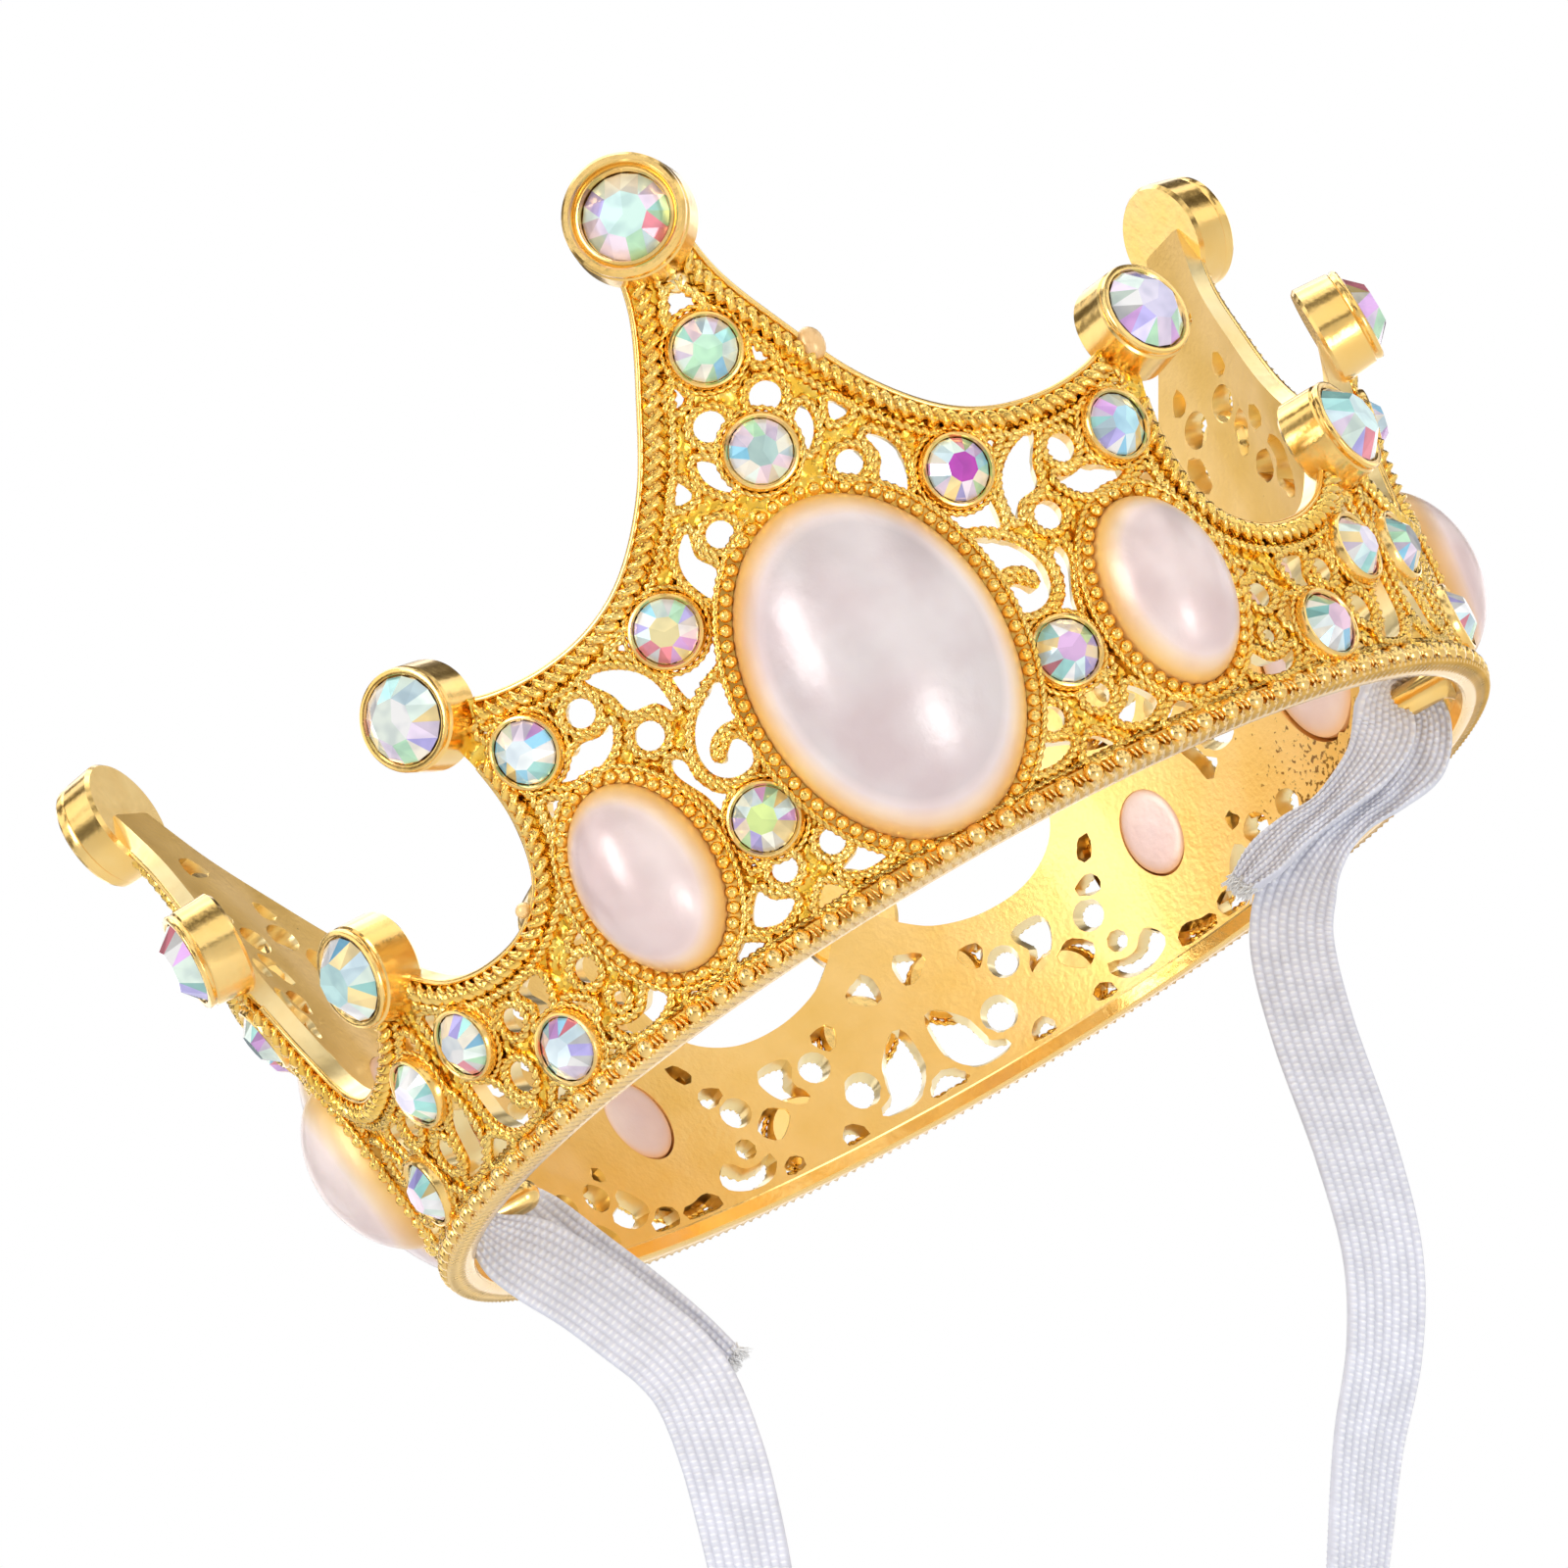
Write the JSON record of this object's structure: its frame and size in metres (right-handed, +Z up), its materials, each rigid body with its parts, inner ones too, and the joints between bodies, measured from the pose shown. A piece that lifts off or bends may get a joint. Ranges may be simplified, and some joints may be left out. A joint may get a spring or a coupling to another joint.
{
  "type": "dress-up crown",
  "caption": "Small round openwork crown with alternating tall, short and mid points, glued oval pearls, faceted stones and an elastic chin strap looped on two inner pegs.",
  "frame": {"origin": "centre of the flat underside of the rim, where the crown sits on the head", "axes": "+Z up the crown to its points, -Y to the front tall point, X through the two strap pegs"},
  "size_m": [0.099, 0.1025, 0.1238],
  "materials": {
    "gold_plate": "moulded plastic with bright yellow gold plating",
    "pearl": "pearl lacquer, white with a lilac and pink sheen, pale peach margin",
    "crystal": "foil-backed faceted stone with a rainbow coating",
    "elastic": "white ribbed woven elastic"
  },
  "bodies": {
    "crown": {"band": "gold_plate", "large_pearl_1": "pearl", "large_pearl_2": "pearl", "large_pearl_3": "pearl", "small_pearl_1": "pearl", "small_pearl_2": "pearl", "small_pearl_3": "pearl", "small_pearl_4": "pearl", "small_pearl_5": "pearl", "small_pearl_6": "pearl", "tall_cap_stone_1": "crystal", "tall_cap_stone_2": "crystal", "tall_cap_stone_3": "crystal", "short_cap_stone_1": "crystal", "short_cap_stone_2": "crystal", "short_cap_stone_3": "crystal", "short_cap_stone_4": "crystal", "short_cap_stone_5": "crystal", "short_cap_stone_6": "crystal", "mid_cap_stone_1": "crystal", "mid_cap_stone_2": "crystal", "mid_cap_stone_3": "crystal", "point_stones_1": "crystal", "point_stones_2": "crystal", "point_stones_3": "crystal", "upper_corner_stones_1": "crystal", "upper_corner_stones_2": "crystal", "upper_corner_stones_3": "crystal", "lower_corner_stones_1": "crystal", "lower_corner_stones_2": "crystal", "lower_corner_stones_3": "crystal", "short_point_stones_1": "crystal", "short_point_stones_2": "crystal", "short_point_stones_3": "crystal", "mid_upper_stones_1": "crystal", "mid_upper_stones_2": "crystal", "mid_upper_stones_3": "crystal", "mid_lower_stones_1": "crystal", "mid_lower_stones_2": "crystal", "mid_lower_stones_3": "crystal"},
    "chin_strap": {"strap": "elastic", "strap_end_left": "elastic", "strap_end_right": "elastic"}
  },
  "joints": [
    {"name": "strap_swing", "type": "hinge", "parent": "crown", "child": "chin_strap", "pos_m": [0, 0, 0.0028], "axis": [1, 0, 0], "range_deg": [-60, 60]}
  ]
}
